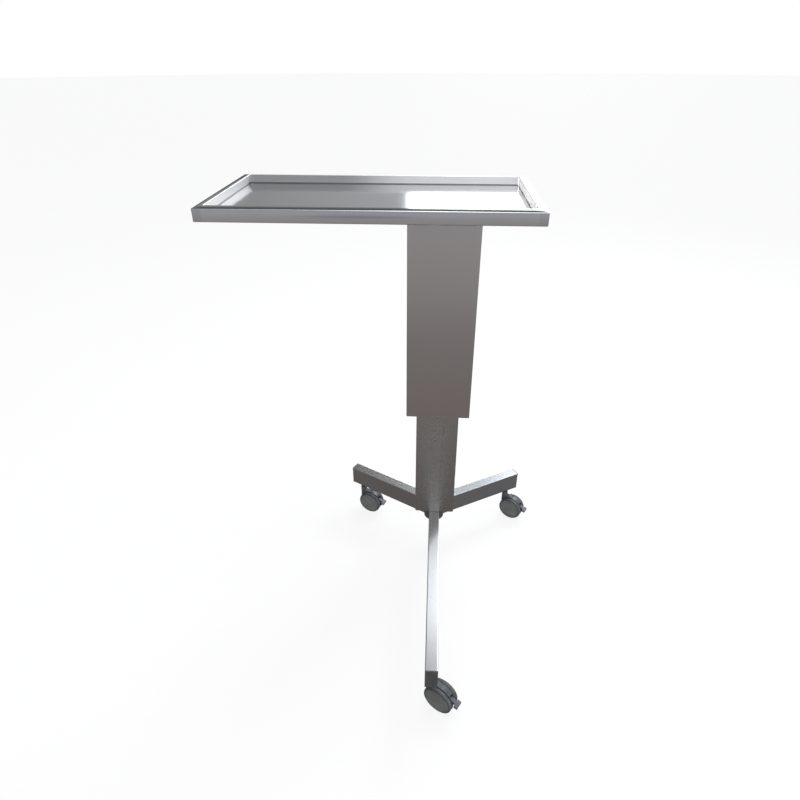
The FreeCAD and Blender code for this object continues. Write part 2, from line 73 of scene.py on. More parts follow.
# Casters (mm); Y is measured along the axle from the caster's middle
WHEEL_RADIUS = 37.5
WHEEL_OFFSET = 29.0         # stem to axle, level
INNER_FACE, OUTER_FACE = 7.8, 19.5
TYRE_SEAT = 32.5            # radius where tyre and disc meet
BORE = 4.06
RIBS, RIB_STEPS = 54, 4
RIB_DEPTH = 0.55
RIB_START, RIB_FADE = 36.2, 1.0     # radius where ribs begin, and where they are full
SWIVEL = {"front": -32.0, "rear_left": -23.0, "rear_right": -31.0}      # degrees


# ---------------------------------------------------------------------------
# shader graphs
# ---------------------------------------------------------------------------
class Signal:
    """An output socket; arithmetic on it adds Math nodes."""

    def __init__(self, graph, socket):
        self.graph = graph
        self.socket = socket

    def __add__(self, other):
        return self.graph.math("ADD", self, other)

    def __radd__(self, other):
        return self.graph.math("ADD", other, self)

    def __sub__(self, other):
        return self.graph.math("SUBTRACT", self, other)

    def __rsub__(self, other):
        return self.graph.math("SUBTRACT", other, self)

    def __mul__(self, other):
        return self.graph.math("MULTIPLY", self, other)

    def __truediv__(self, other):
        return self.graph.math("DIVIDE", self, other)

    def __pow__(self, other):
        return self.graph.math("POWER", self, other)

    def __abs__(self):
        return self.graph.math("ABSOLUTE", self)

    def swing(self, by):
        """A 0-1 signal centred on zero, spanning `by`."""
        return (self - 0.5) * by

    def rise(self, start, end, before=0.0, after=1.0, smooth=True):
        return self.graph.add(
            "ShaderNodeMapRange",
            {"Value": self, "From Min": start, "From Max": end, "To Min": before, "To Max": after},
            interpolation_type="SMOOTHSTEP" if smooth else "LINEAR")

    def fall(self, start, end):
        return self.rise(start, end, before=1.0, after=0.0)

    def band(self, rise, fall):
        """1 between two soft borders, each a (start, end) pair."""
        return self.rise(*rise) * self.fall(*fall)


class Graph:
    """The node tree of a material or world."""

    def __init__(self, owner):
        owner.use_nodes = True
        self.owner = owner
        self.tree = owner.node_tree
        self.tree.nodes.clear()

    def add(self, kind, inputs=None, output=0, **props):
        node = self.tree.nodes.new(kind)
        for key, value in props.items():
            setattr(node, key, value)
        for key, value in (inputs or {}).items():
            self.put(node.inputs[key], value)
        return Signal(self, node.outputs[output])

    def put(self, socket, value):
        if value is None:
            return
        if isinstance(value, Signal):
            self.tree.links.new(value.socket, socket)
        elif isinstance(value, tuple) and len(value) == 3 and socket.type == "RGBA":
            socket.default_value = (*value, 1.0)
        else:
            socket.default_value = value

    def math(self, operation, a, b=None, clamp=False):
        return self.add("ShaderNodeMath", {0: a, 1: b}, operation=operation, use_clamp=clamp)

    def vector_math(self, operation, a, b=None, scale=None):
        inputs = {0: a}
        if b is not None:
            inputs[1] = b
        if scale is not None:
            inputs["Scale"] = scale
        output = "Value" if operation in ("DOT_PRODUCT", "LENGTH") else 0
        return self.add("ShaderNodeVectorMath", inputs, output, operation=operation)

    def distance(self, position, centre):
        return self.vector_math("LENGTH", self.vector_math("SUBTRACT", position, centre))

    def xyz(self, vector):
        node = self.add("ShaderNodeSeparateXYZ", {0: vector}).socket.node
        return [Signal(self, socket) for socket in node.outputs]

    def mix(self, mask, a, b, amount=None):
        """Colour a to colour b; amount scales the mask."""
        if amount is not None:
            mask = mask * amount
        return self.add("ShaderNodeMix", {0: mask, 6: a, 7: b}, output=2, data_type="RGBA")

    def mix_value(self, mask, a, b):
        return self.add("ShaderNodeMix", {0: mask, 2: a, 3: b}, data_type="FLOAT")

    def mix_shader(self, mask, a, b):
        return self.add("ShaderNodeMixShader", {0: mask, 1: a, 2: b})

    def position(self):
        return self.add("ShaderNodeTexCoord", output="Object")

    def normal(self):
        return self.add("ShaderNodeNewGeometry", output="Normal")

    def turned(self, vector, degrees):
        return self.add("ShaderNodeVectorRotate",
                        {"Vector": vector, "Angle": math.radians(degrees)},
                        rotation_type="Z_AXIS")

    def noise(self, vector, scale, detail, rough):
        return self.add("ShaderNodeTexNoise", {"Vector": vector, "Scale": scale,
                                               "Detail": detail, "Roughness": rough}, "Fac")

    def streaks(self, vector, stretch, detail, rough):
        """Noise with its own scale on each axis."""
        mapped = self.add("ShaderNodeMapping", {"Vector": vector, "Scale": stretch})
        return self.noise(mapped, scale=1.0, detail=detail, rough=rough)

    def bump(self, height, distance, strength, normal=None):
        return self.add("ShaderNodeBump", {"Height": height, "Distance": distance,
                                           "Strength": strength, "Normal": normal})

    def edges(self, radius):
        """1 on the object's edges, 0 on its faces."""
        bevel = self.add("ShaderNodeBevel", {"Radius": radius}, samples=6)
        return self.vector_math("DOT_PRODUCT", bevel, self.normal()).fall(start=0.80, end=0.995)

    def output(self, kind, shader):
        self.add_last = self.tree.nodes.new(kind)
        self.tree.links.new(shader.socket, self.add_last.inputs[0])
        return self.owner

    def finish(self, **inputs):
        """A Principled surface; underscores in the input names stand for spaces."""
        inputs = {key.replace("_", " "): value for key, value in inputs.items()}
        return self.output("ShaderNodeOutputMaterial",
                           self.add("ShaderNodeBsdfPrincipled", inputs))


def tint(colour, gain, lift=0.0):
    return tuple(min(1.0, c * gain + lift) for c in colour)


# ---------------------------------------------------------------------------
# metals
# ---------------------------------------------------------------------------
def tray_details(g, position, normal, base, colour, roughness, height):
    """Ground corners, mitred rim grain, rougher walls, and painted shade on the rear wall and in
    the floor bend.
    """
    corner_size, corner_blur = 0.019, 0.003
    rim = RIM_WIDTH * MM
    floor = Z_FLOOR * MM
    x, y, z = g.xyz(position)
    from_end = TRAY_HALF_X - abs(x - TRAY_X)
    from_side = TRAY_HALF_Y - abs(y - TRAY_Y)

    # the grain is broken up in the corners
    wobble = g.noise(position, scale=90.0, detail=3.0, rough=0.55).swing(by=0.004)
    corner = (g.math("MAXIMUM", from_end, from_side) + wobble).fall(
        start=corner_size - corner_blur, end=corner_size + corner_blur)
    # on the end rims the grain runs along Y
    on_rim = g.math("MINIMUM", from_end, from_side).fall(start=rim - 0.0005, end=rim + 0.0005)
    end_rim = (from_end - from_side).fall(start=-0.0004, end=0.0004) * on_rim
    end_grain = g.streaks(position, stretch=(900.0, 3.0, 900.0), detail=4.0, rough=0.6)
    swirl = g.noise(position, scale=420.0, detail=4.0, rough=0.6)
    height = g.mix_value(end_rim, height, end_grain * 1.3)
    height = g.mix_value(corner, height, swirl * 1.0)
    seam = abs(from_end - from_side).fall(start=0.0003, end=0.0011) * on_rim
    colour = g.mix(corner, colour, tint(base, 0.80), amount=0.55)
    colour = g.mix(seam, colour, tint(base, 0.55), amount=0.45)

    # bend between the pan's floor and its walls, darkened as painted shade
    inset = g.math("MINIMUM", from_end, from_side)
    floor_bend_shade = inset.band(rise=(rim - 0.0002, rim + 0.0002), fall=(rim + 0.0016, rim + 0.0034))
    floor_bend_shade = floor_bend_shade * z.fall(start=floor + 0.0016, end=floor + 0.0034)
    # the pan's walls, and those that face along X
    normal_x, normal_y, normal_z = g.xyz(normal)
    wall = abs(normal_z).fall(start=0.30, end=0.60) * inset.rise(start=rim - 0.0010,
                                                                 end=rim - 0.0004)
    end_wall = wall * abs(normal_x).rise(start=0.45, end=0.75)
    # painted shade: the rear wall is darker towards the left end
    rear_wall_shade = wall * normal_y.fall(start=-0.75, end=-0.45) * x.fall(start=-0.17, end=0.02)
    colour = g.mix(rear_wall_shade, colour, tint(base, 0.42), amount=0.85)
    # painted shade: the floor bend darkened nearly to black
    colour = g.mix(floor_bend_shade, colour, (0.045, 0.044, 0.043), amount=0.85)
    # roughness added by each zone
    roughness = roughness + corner * 0.06 + wall * 0.20 + end_wall * 0.22 + floor_bend_shade * 0.25
    along = g.add("ShaderNodeCombineXYZ", {0: 1.0 - end_rim, 1: end_rim})
    return colour, roughness, height, along


def brushed(name, base, rough, grain, aniso, wear, grime=0.0, mottle=0.5, cut=0.000007,
            details=None):
    """Brushed stainless steel.

    grain: 'x', 'y', 'z', or an angle in degrees for a bar lying in the floor plane;
    mottle: strength of the handling marks; cut: depth of the grain (m);
    details: function that adds zones to the finish and painted shade.
    """
    g = Graph(bpy.data.materials.new(name))
    position = g.position()
    normal = g.normal()
    if isinstance(grain, str):
        bar, axis = position, "xyz".index(grain)
        along = [0.0, 0.0, 0.0]
        along[axis] = 1.0
    else:
        bar, axis = g.turned(position, -grain), 0
        along = (math.cos(math.radians(grain)), math.sin(math.radians(grain)), 0.0)

    def stretch(across, lengthwise):
        scale = [across] * 3
        scale[axis] = lengthwise
        return scale

    fine = g.streaks(bar, stretch(across=1400.0, lengthwise=3.0), detail=4.0, rough=0.6)
    broad = g.streaks(bar, stretch(across=60.0, lengthwise=0.9), detail=3.0, rough=0.5)
    handling = g.noise(position, scale=7.0, detail=4.0, rough=0.6)
    smudges = g.noise(position, scale=60.0, detail=5.0, rough=0.65)
    # a few longer scratches across the grain
    scratch = g.streaks(g.turned(position, degrees=23.0), stretch=(14.0, 700.0, 260.0),
                        detail=2.0, rough=0.4).rise(start=0.70, end=0.76)
    edge = g.edges(radius=0.0011)

    tone = fine.swing(by=0.06) + broad.swing(by=0.08) + handling.swing(by=0.16 * mottle)
    colour = g.mix(g.math("ADD", 0.5, tone, clamp=True), tint(base, 0.78), tint(base, 1.20))
    colour = g.mix(scratch, colour, tint(base, 1.3), amount=0.08)
    if grime:
        # dust close to the floor
        low = g.xyz(position)[2].fall(start=0.10, end=0.32)
        dust = low * smudges.rise(start=0.42, end=0.62, before=0.25)
        colour = g.mix(dust, colour, (0.30, 0.285, 0.27), amount=grime)
    colour = g.mix(edge, colour, (0.80, 0.80, 0.80), amount=wear)
    roughness = (rough + fine.swing(by=0.035) + handling.swing(by=0.07 * mottle)
                 + smudges.swing(by=0.02) - edge * (rough * 0.35))
    height = fine - scratch * 0.12
    if details:
        colour, roughness, height, along = details(
            g, position, normal, base, colour, roughness, height)

    wave = g.streaks(position, stretch=(5.0, 8.0, 5.0), detail=2.0, rough=0.5)
    waviness = g.bump(wave, distance=0.0035, strength=0.10)
    relief = g.bump(height, distance=cut, strength=0.3, normal=waviness)
    along = g.add("ShaderNodeVectorTransform", {0: along}, vector_type="VECTOR",
                  convert_from="OBJECT", convert_to="WORLD")
    return g.finish(Base_Color=colour, Metallic=1.0,
                    Roughness=g.math("MAXIMUM", roughness, 0.06), Anisotropic=aniso,
                    Tangent=g.vector_math("CROSS_PRODUCT", normal, along), Normal=relief)


def plain_metal(name, base, rough, wear=0.4, spot=(0.5, 0.5, 0.5), spots=0.15, grain=220.0):
    """Plated, turned or pressed steel seen in small pieces, with stains of colour `spot`."""
    g = Graph(bpy.data.materials.new(name))
    position = g.position()
    fine = g.noise(position, scale=grain, detail=4.0, rough=0.6)
    cloud = g.noise(position, scale=grain * 0.12, detail=3.0, rough=0.5)
    colour = g.mix(cloud.rise(start=0.3, end=0.7), tint(base, 0.85), tint(base, 1.12))
    colour = g.mix(fine.rise(start=0.55, end=0.72), colour, spot, amount=spots)
    colour = g.mix(g.edges(radius=0.0006), colour, (0.78, 0.78, 0.78), amount=wear)
    roughness = rough + fine.swing(by=0.22)
    return g.finish(Base_Color=colour, Metallic=1.0,
                    Roughness=g.math("MAXIMUM", roughness, 0.05),
                    Normal=g.bump(fine, distance=0.00005, strength=0.5))


def painted(name, base, rough):
    """Gloss paint, chipped to bare metal along the edges."""
    g = Graph(bpy.data.materials.new(name))
    bare = 0.5      # how far the chips show metal
    position = g.position()
    peel = g.noise(position, scale=900.0, detail=2.0, rough=0.5)
    cloud = g.noise(position, scale=25.0, detail=4.0, rough=0.6)
    flakes = g.noise(position, scale=240.0, detail=4.0, rough=0.7)
    chips = g.edges(radius=0.0009) * flakes.rise(start=0.46, end=0.56)
    colour = g.mix(cloud.rise(start=0.3, end=0.7), tint(base, 0.8), tint(base, 1.25))
    colour = g.mix(chips, colour, (0.42, 0.41, 0.40), amount=bare)
    return g.finish(Base_Color=colour, Metallic=chips * bare,
                    Roughness=rough + cloud.swing(by=0.16),
                    Normal=g.bump(peel, distance=0.00008, strength=0.45))


# ---------------------------------------------------------------------------
# plastics and rubber
# ---------------------------------------------------------------------------
def moulded(name, base, rough, pebble=700.0, depth=0.00010, dust=0.2):
    """Moulded plastic with a fine texture, scuffs, rubbed edges and dust on top.

    pebble: scale of the texture; depth: its depth (m).
    """
    g = Graph(bpy.data.materials.new(name))
    position = g.position()
    # each object gets its own patch of the larger patterns
    shift = g.vector_math("SCALE", g.add("ShaderNodeObjectInfo", output="Location"), scale=3.0)
    shifted = g.vector_math("ADD", position, shift)
    grain = g.noise(position, scale=pebble, detail=3.0, rough=0.6)
    cloud = g.noise(shifted, scale=38.0, detail=4.0, rough=0.6)
    small = g.noise(shifted, scale=260.0, detail=4.0, rough=0.65)
    scuff = g.streaks(g.turned(shifted, degrees=31.0), stretch=(60.0, 900.0, 420.0),
                      detail=2.0, rough=0.45).rise(start=0.66, end=0.74)
    rubbed = g.edges(radius=0.0007) * small.rise(start=0.40, end=0.60, before=0.35)
    upward = g.xyz(g.normal())[2].rise(start=0.2, end=0.9)
    dusty = upward * small.rise(start=0.42, end=0.66, before=0.3)
    colour = g.mix(cloud.rise(start=0.32, end=0.68), tint(base, 0.84), tint(base, 1.16))
    colour = g.mix(scuff, colour, tint(base, 1.9, lift=0.02), amount=0.3)
    colour = g.mix(rubbed, colour, tint(base, 1.8, lift=0.03), amount=0.35)
    colour = g.mix(dusty, colour, (0.32, 0.31, 0.30), amount=dust)
    # dust dulls, rubbing polishes
    roughness = rough + cloud.swing(by=0.16) + dusty * (dust * 0.6) - rubbed * 0.08
    relief = g.bump(grain - scuff * 0.5, distance=depth, strength=0.6)
    return g.finish(Base_Color=colour, Metallic=0.0, Roughness=roughness, Coat_Weight=0.0,
                    Coat_Roughness=0.35, Normal=relief)


def rubber(name, base, rough):
    """Tyre rubber, dirty on the running surface."""
    g = Graph(bpy.data.materials.new(name))
    position = g.position()
    fine = g.noise(position, scale=1100.0, detail=3.0, rough=0.6)
    cloud = g.noise(position, scale=45.0, detail=4.0, rough=0.65)
    spots = g.noise(position, scale=210.0, detail=4.0, rough=0.7)
    # distance from the axle tells the running surface from the side walls
    x, y, z = g.xyz(position)
    radius = g.math("SQRT", x ** 2.0 + z ** 2.0)
    tread = radius.rise(start=RIB_START * MM, end=(RIB_START + RIB_FADE) * MM)
    dirt = tread * spots.rise(start=0.40, end=0.62, before=0.2)
    colour = g.mix(cloud.rise(start=0.3, end=0.7), tint(base, 0.8), tint(base, 1.2))
    colour = g.mix(dirt, colour, (0.27, 0.255, 0.24), amount=0.30)
    colour = g.mix(g.edges(radius=0.0007), colour, tint(base, 1.8), amount=0.25)
    return g.finish(Base_Color=colour, Metallic=0.0,
                    Roughness=rough + cloud.swing(by=0.2) + dirt * 0.16,
                    Normal=g.bump(fine + spots, distance=0.00009, strength=0.5))


LEG = dict(wear=0.3, grime=0.05)
# maker, name, base colour, settings
FINISHES = (
    (brushed, "tray_steel", (0.585, 0.585, 0.595),
     dict(rough=0.115, grain="x", aniso=0.35, wear=0.15, mottle=0.6, details=tray_details)),
    (brushed, "sleeve_steel", (0.555, 0.535, 0.532),
     dict(rough=0.25, grain="z", aniso=0.45, wear=0.4)),
    (brushed, "column_steel", (0.545, 0.535, 0.525),
     dict(rough=0.27, grain="z", aniso=0.45, wear=0.4, grime=0.06, cut=0.000003)),
    # the three legs are one steel; their base colours differ as painted light: the front leg
    # lighter, the rear left darker and warmer, the rear right darker and bluer as a painted
    # reflection
    (brushed, "leg_steel_front", (0.62, 0.62, 0.625),
     dict(rough=0.28, grain="y", aniso=0.85, mottle=0.2, cut=0.000004, **LEG)),
    (brushed, "leg_steel_rear_left", (0.56, 0.555, 0.55),
     dict(rough=0.22, grain=150.0, aniso=0.6, mottle=0.25, cut=0.000003, **LEG)),
    (brushed, "leg_steel_rear_right", (0.53, 0.545, 0.57),
     dict(rough=0.25, grain=30.0, aniso=0.7, mottle=0.25, cut=0.000003, **LEG)),
    (plain_metal, "hub_steel", (0.30, 0.295, 0.29),
     dict(rough=0.42, spots=0.3, spot=(0.20, 0.19, 0.18))),
    (brushed, "rail_steel", (0.52, 0.52, 0.52), dict(rough=0.36, grain="x", aniso=0.3, wear=0.4)),
    (plain_metal, "plate_steel", (0.42, 0.415, 0.41),
     dict(rough=0.40, spots=0.25, spot=(0.30, 0.29, 0.28))),
    (brushed, "lever_steel", (0.55, 0.55, 0.55), dict(rough=0.28, grain="x", aniso=0.3, wear=0.6)),
    (plain_metal, "zinc_plate", (0.60, 0.61, 0.62),
     dict(rough=0.30, spots=0.3, spot=(0.42, 0.44, 0.47))),
    (plain_metal, "black_oxide", (0.055, 0.055, 0.06),
     dict(rough=0.38, wear=0.5, spots=0.3, spot=(0.10, 0.09, 0.08))),
    (plain_metal, "hard_chrome", (0.66, 0.66, 0.67),
     dict(rough=0.08, wear=0.2, spots=0.10, grain=500.0)),
    (plain_metal, "stem_steel", (0.075, 0.075, 0.078),
     dict(rough=0.45, wear=0.15, spots=0.3, spot=(0.20, 0.19, 0.18))),
    (plain_metal, "axle_steel", (0.50, 0.50, 0.51),
     dict(rough=0.28, spots=0.3, spot=(0.35, 0.33, 0.31))),
    (painted, "spring_black", (0.030, 0.031, 0.034), dict(rough=0.32)),
    (painted, "foot_black", (0.045, 0.045, 0.047), dict(rough=0.45)),
    (moulded, "guide_plastic", (0.040, 0.041, 0.043), dict(rough=0.45, dust=0.05)),
    (moulded, "plug_plastic", (0.062, 0.063, 0.064),
     dict(rough=0.48, pebble=900.0, depth=0.00012, dust=0.25)),
    (moulded, "grip_plastic", (0.030, 0.031, 0.034),
     dict(rough=0.50, pebble=500.0, depth=0.00016)),
    (moulded, "hood_plastic", (0.070, 0.080, 0.092),
     dict(rough=0.38, pebble=1000.0, depth=0.00007, dust=0.05)),
    (moulded, "wheel_plastic", (0.125, 0.132, 0.128),
     dict(rough=0.45, pebble=1000.0, depth=0.00008, dust=0.10)),
    (moulded, "pedal_plastic", (0.080, 0.090, 0.115),
     dict(rough=0.45, pebble=1000.0, depth=0.00008, dust=0.22)),
    (rubber, "tyre_rubber", (0.058, 0.065, 0.073), dict(rough=0.52)),
)
MATERIALS = {name: make(name, base, **settings) for make, name, base, settings in FINISHES}


# ---------------------------------------------------------------------------
# mesh helpers
# ---------------------------------------------------------------------------
def to_object(bm, name, sharp_angle=None):
    """New object; with sharp_angle (degrees) it is smooth except at sharper edges."""
    bmesh.ops.recalc_face_normals(bm, faces=bm.faces[:])
    if sharp_angle is not None:
        limit = math.radians(sharp_angle)
        for edge in bm.edges:
            edge.smooth = not (len(edge.link_faces) == 2 and edge.calc_face_angle(0.0) > limit)
        for face in bm.faces:
            face.smooth = True
    mesh = bpy.data.meshes.new(name)
    bm.to_mesh(mesh)
    bm.free()
    obj = bpy.data.objects.new(name, mesh)
    scene.collection.objects.link(obj)
    return obj


def rounded(rows, steps):
    """Open polyline of (a, b, corner radius) rows, its inner corners turned into arcs."""
    out = [rows[0][:2]]
    for before, row, after in zip(rows, rows[1:], rows[2:]):
        corner = Vector(row[:2])
        radius = row[2]
        if radius <= 0:
            out.append(tuple(corner))
            continue
        back, ahead = Vector(before[:2]) - corner, Vector(after[:2]) - corner
        u, v = back.normalized(), ahead.normalized()
        half = math.acos(max(-1, min(1, u.dot(v)))) / 2
        # the arc takes less than half of either side
        cut = min(radius / math.tan(half), back.length * 0.48, ahead.length * 0.48)
        radius = cut * math.tan(half)
        centre = corner + (u + v).normalized() * (radius / math.sin(half))
        first, last = corner + u * cut, corner + v * cut
        start = math.atan2(first.y - centre.y, first.x - centre.x)
        end = math.atan2(last.y - centre.y, last.x - centre.x)
        sweep = (end - start + math.pi) % (2 * math.pi) - math.pi
        for k in range(steps + 1):
            t = start + sweep * k / steps
            out.append((centre.x + radius * math.cos(t), centre.y + radius * math.sin(t)))
    out.append(rows[-1][:2])
    return out


def bridge(bm, ring, following):
    for i in range(len(ring)):
        j = (i + 1) % len(ring)
        bm.faces.new((ring[i], ring[j], following[j], following[i]))


def lathe(name, profile, steps, sharp_angle, shape=lambda radius, k: radius):
    """Closed (radius, y) profile in mm turned about the Y axis; radius 0 makes a pole."""
    bm = bmesh.new()
    rings = []
    for radius, y in profile:
        if radius < 1e-6:
            rings.append([bm.verts.new((0, y * MM, 0))])
            continue
        ring = []
        for k in range(steps):
            a = 2 * math.pi * k / steps
            r = shape(radius, k) * MM
            ring.append(bm.verts.new((r * math.cos(a), y * MM, r * math.sin(a))))
        rings.append(ring)
    for ring, following in zip(rings, rings[1:] + rings[:1]):
        if len(ring) == 1 and len(following) == 1:
            continue
        if len(ring) > 1 and len(following) > 1:
            bridge(bm, ring, following)
            continue
        for k in range(steps):
            j = (k + 1) % steps
            if len(ring) == 1:
                bm.faces.new((ring[0], following[j], following[k]))
            else:
                bm.faces.new((ring[k], ring[j], following[0]))
    return to_object(bm, name, sharp_angle)


def soften(obj, voxel, passes):
    """Voxel remesh, relax and thin out: rounds every edge like a moulding."""
    remesh = obj.modifiers.new("remesh", "REMESH")
    remesh.mode = "VOXEL"
    remesh.voxel_size = voxel
    remesh.adaptivity = 0.0
    relax = obj.modifiers.new("smooth", "SMOOTH")
    relax.factor = 0.5
    relax.iterations = passes
    thin = obj.modifiers.new("thin", "DECIMATE")
    thin.ratio = 0.35
    depsgraph = bpy.context.evaluated_depsgraph_get()
    mesh = bpy.data.meshes.new_from_object(obj.evaluated_get(depsgraph))
    obj.modifiers.clear()
    obj.data = mesh
    for polygon in mesh.polygons:
        polygon.use_smooth = True


def paint(obj, material):
    if not obj.data.materials:
        obj.data.materials.append(material)
    for i in range(len(obj.data.materials)):
        obj.data.materials[i] = material
    for slot in obj.material_slots:
        slot.material = material


def crisp(node, radius, material, segments=2):
    """A CAD node that stays: joined vertices, edge radii (mm) and a material."""
    obj = NODES[node]
    weld = obj.modifiers.new("weld", "WELD")
    weld.merge_threshold = 1e-6
    bevel = obj.modifiers.new("edge", "BEVEL")
    bevel.width = radius * MM
    bevel.segments = segments
    bevel.limit_method = "ANGLE"
    bevel.angle_limit = math.radians(40.0)
    bevel.harden_normals = False
    normals = obj.modifiers.new("normals", "WEIGHTED_NORMAL")
    normals.keep_sharp = False
    normals.weight = 80
    paint(obj, MATERIALS[material])


def stand_in(obj, material, body, node):
    """The object moves with a body and takes a CAD node's place."""
    paint(obj, MATERIALS[material])
    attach(obj, body)
    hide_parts(node)


# ---------------------------------------------------------------------------
# tray: one sheet with bend radii, nearly square corners and a hem
# ---------------------------------------------------------------------------
def tray_section():
    """(inset from the tray's outline, z) in mm, from the pan's floor to the hem and back."""
    slope = RIM_RISE / RIM_WIDTH
    floor_end = RIM_WIDTH + 12

    def under_rim(inset):
        return Z_RIM + slope * inset - SHEET * math.sqrt(1 + slope * slope)

    # inset, z, bend radius
    outside = rounded([
        (HEM_WIDTH, Z_HEM, 0), (0.0, Z_HEM, 1.7), (0.0, Z_RIM, 1.2),
        (RIM_WIDTH, Z_TOP, 1.3), (RIM_WIDTH, Z_FLOOR, 2.4), (floor_end, Z_FLOOR, 0)], steps=5)
    inside = rounded([
        (floor_end, Z_FLOOR - SHEET, 0),
        (RIM_WIDTH - SHEET, Z_FLOOR - SHEET, 3.4),
        (RIM_WIDTH - SHEET, under_rim(RIM_WIDTH - SHEET), 0.4),
        (SHEET, under_rim(SHEET), 0.4),
        (SHEET, Z_HEM + SHEET, 0.5), (HEM_WIDTH, Z_HEM + SHEET, 0)], steps=4)
    return outside[::-1] + inside[::-1]


def tray_corner_radius(inset):
    if inset <= RIM_WIDTH:
        return 2.2 + 0.03 * inset
    return max(2.8 - (inset - RIM_WIDTH), 0.4)


def tray_ring(inset, z, steps=6):
    """Rounded rectangle parallel to the tray's outline, as points in mm."""
    radius = tray_corner_radius(inset)
    x = TRAY_HALF_X / MM - inset - radius
    y = TRAY_HALF_Y / MM - inset - radius
    points = []
    for side_x, side_y, start in ((x, y, 0), (-x, y, 90), (-x, -y, 180), (x, -y, 270)):
        for k in range(steps + 1):
            a = math.radians(start + 90.0 * k / steps)
            points.append((TRAY_X / MM + side_x + radius * math.cos(a),
                           TRAY_Y / MM + side_y + radius * math.sin(a), z))
    return points


def build_tray():
    bm = bmesh.new()
    rings = [[bm.verts.new(Vector(point) * MM) for point in tray_ring(inset, z)]
             for inset, z in tray_section()]
    for ring, following in zip(rings, rings[1:]):
        bridge(bm, ring, following)
    bm.faces.new(rings[0])
    bm.faces.new(rings[-1][::-1])
    tray = to_object(bm, "tray_sheet", sharp_angle=28.0)
    stand_in(tray, "tray_steel", body="carriage", node="tray_pan")


build_tray()

# ---------------------------------------------------------------------------
# CAD nodes that stay
# ---------------------------------------------------------------------------
# node, edge radius (mm), material
KEPT = (
    ("column_sleeve", 0.35, "sleeve_steel"), ("inner_column", 0.4, "column_steel"),
    ("column_base_plate", 0.4, "plate_steel"), ("base_plate_bolts", 0.35, "black_oxide"),
    ("gas_spring_foot", 0.4, "foot_black"), ("leg_hub", 0.5, "hub_steel"),
    ("gas_spring_cylinder", 0.4, "spring_black"), ("gas_spring_seal_cap", 0.4, "spring_black"),
    ("gas_spring_rod", 0.2, "hard_chrome"), ("rod_lock_nuts", 0.4, "zinc_plate"),
    ("release_pin", 0.1, "axle_steel"), ("upper_guide_block", 0.4, "guide_plastic"),
    ("lower_guide_collar", 0.4, "guide_plastic"), ("sleeve_top_plate", 0.4, "plate_steel"),
    ("tray_rail_front", 0.4, "rail_steel"), ("tray_rail_rear", 0.4, "rail_steel"),
    ("tray_mount_bolts", 0.35, "zinc_plate"), ("tray_mount_nuts", 0.35, "zinc_plate"),
    ("lever_bracket", 0.3, "plate_steel"), ("lever_pivot_pin", 0.2, "axle_steel"),
    ("release_lever", 0.4, "lever_steel"), ("caster_weld_nuts", 0.4, "plate_steel"),
)
for kept in KEPT:
    crisp(*kept)
crisp("lever_grip", 0.5, "grip_plastic", segments=3)
for place in PLACES:
    crisp("leg_" + place, 0.3, "leg_steel_" + place)
    crisp("leg_plug_" + place, 0.25, "plug_plastic")
    crisp("caster_%s_stem" % place, 0.3, "stem_steel")
    crisp("caster_%s_axle" % place, 0.3, "axle_steel")
    crisp("caster_%s_pedal_pin" % place, 0.15, "axle_steel")

# ---------------------------------------------------------------------------
# casters, built in a local frame: axle along Y through the origin
# ---------------------------------------------------------------------------
# Disc and tyre of the +Y wheel: radius, y, corner radius (mm)
DISC_OUTSIDE = (
    (0.0, OUTER_FACE - 2.2, 0), (0.0, OUTER_FACE + 0.42, 0), (12.0, OUTER_FACE + 0.30, 60),
    (21.0, OUTER_FACE + 0.02, 40), (26.2, OUTER_FACE - 0.42, 0.9),
    (27.0, OUTER_FACE - 1.35, 0.5), (28.4, OUTER_FACE - 1.45, 0.5),
    (29.3, OUTER_FACE - 0.75, 0.6), (31.6, OUTER_FACE - 0.65, 0.45),
    (32.2, OUTER_FACE - 1.25, 0.1), (TYRE_SEAT, OUTER_FACE - 1.3, 0),
)
TYRE = (
    (TYRE_SEAT, OUTER_FACE - 0.75, 0), (33.6, OUTER_FACE - 0.55, 0.7),
    (36.6, OUTER_FACE - 1.7, 2.6), (WHEEL_RADIUS, OUTER_FACE - 4.2, 3.0),
    (WHEEL_RADIUS, INNER_FACE + 2.2, 1.2), (36.9, INNER_FACE + 0.9, 0.6),
    (35.6, INNER_FACE + 0.45, 0.4), (TYRE_SEAT, INNER_FACE + 0.45, 0),
)
# Back of the disc, from the tyre seat to the axle bore: radius, y
DISC_INSIDE = [
    (TYRE_SEAT, INNER_FACE + 0.5), (32.0, INNER_FACE + 0.4), (29.4, INNER_FACE + 0.4),
    (29.0, INNER_FACE + 0.8), (29.0, OUTER_FACE - 3.4), (8.6, OUTER_FACE - 3.4),
    (8.5, OUTER_FACE - 3.6), (8.5, INNER_FACE + 0.3), (8.2, INNER_FACE), (4.4, INNER_FACE),
    (BORE, INNER_FACE + 0.3), (BORE, OUTER_FACE - 2.2),
]


def ribbed(radius, k):
    """Fine cross ribs on the running surface, fading out on the shoulders."""
    if radius < RIB_START:
        return radius
    fade = min(1.0, (radius - RIB_START) / RIB_FADE)
    return radius - (RIB_DEPTH * fade if k % RIB_STEPS in (2, 3) else 0.0)


